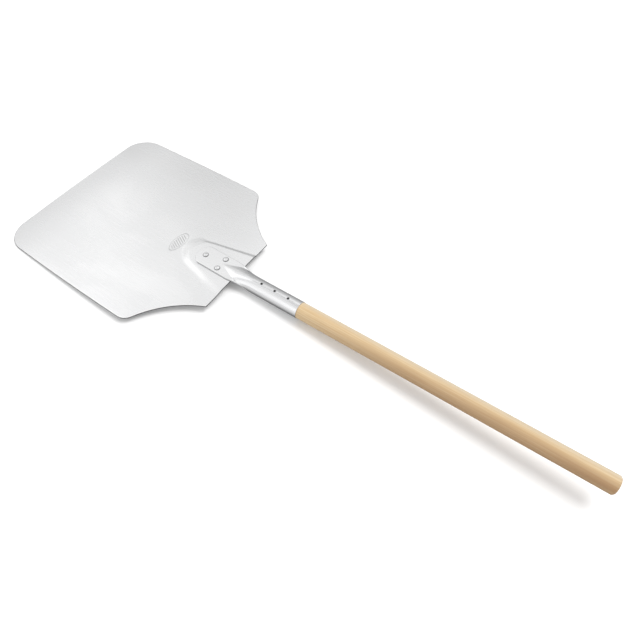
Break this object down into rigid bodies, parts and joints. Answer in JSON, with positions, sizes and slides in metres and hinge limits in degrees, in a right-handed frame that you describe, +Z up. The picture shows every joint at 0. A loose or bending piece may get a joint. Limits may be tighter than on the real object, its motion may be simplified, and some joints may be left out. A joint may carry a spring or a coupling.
{
  "type": "pizza peel",
  "caption": "Flat square metal blade with rounded corners, riveted to a flattened tube socket that holds a long round wooden handle.",
  "frame": {"origin": "middle of the base of the whole peel's bounding box, on the surface that the peel lies on", "axes": "+Y along the peel from the handle end to the leading edge of the blade, +X across the blade, +Z up out of the carrying face"},
  "size_m": [0.3556, 1.046, 0.0659],
  "materials": {
    "blade_sheet": "satin rolled sheet",
    "socket_tube": "drawn tube, lightly polished",
    "rivet_metal": "satin",
    "handle_wood": "sanded, thin clear lacquer",
    "nail_steel": "dark steel"
  },
  "bodies": {
    "root": {"blade": "blade_sheet", "handle_socket": "socket_tube", "rivet_front": "rivet_metal", "rivet_rear_right": "rivet_metal", "rivet_rear_left": "rivet_metal", "wooden_handle": "handle_wood", "nail_front": "nail_steel", "nail_middle": "nail_steel", "nail_rear": "nail_steel"}
  },
  "joints": []
}
